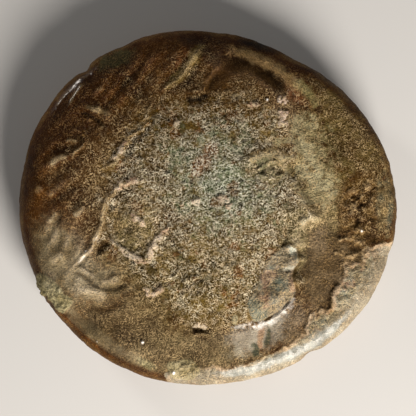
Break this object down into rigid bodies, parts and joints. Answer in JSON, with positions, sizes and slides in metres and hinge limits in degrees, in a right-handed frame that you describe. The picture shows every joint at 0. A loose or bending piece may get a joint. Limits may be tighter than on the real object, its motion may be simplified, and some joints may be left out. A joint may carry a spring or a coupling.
{
  "type": "ancient bronze coin",
  "caption": "Thick, slightly oval hand-struck coin lying flat, with a worn raised head in an animal-skin headdress and a shallow dished back.",
  "frame": {"origin": "middle of the coin's outline, on the plane the back of the coin rests on", "axes": "+Z out of the portrait side, +Y towards the crown of the head, +X the way the head faces"},
  "size_m": [0.02, 0.0188, 0.0036],
  "materials": {
    "aged_bronze": "struck bronze, long buried: dark brown patina with granular olive and grey-green corrosion, pale crust and rubbed high edges"
  },
  "bodies": {
    "root": {"coin": "aged_bronze"}
  },
  "joints": []
}
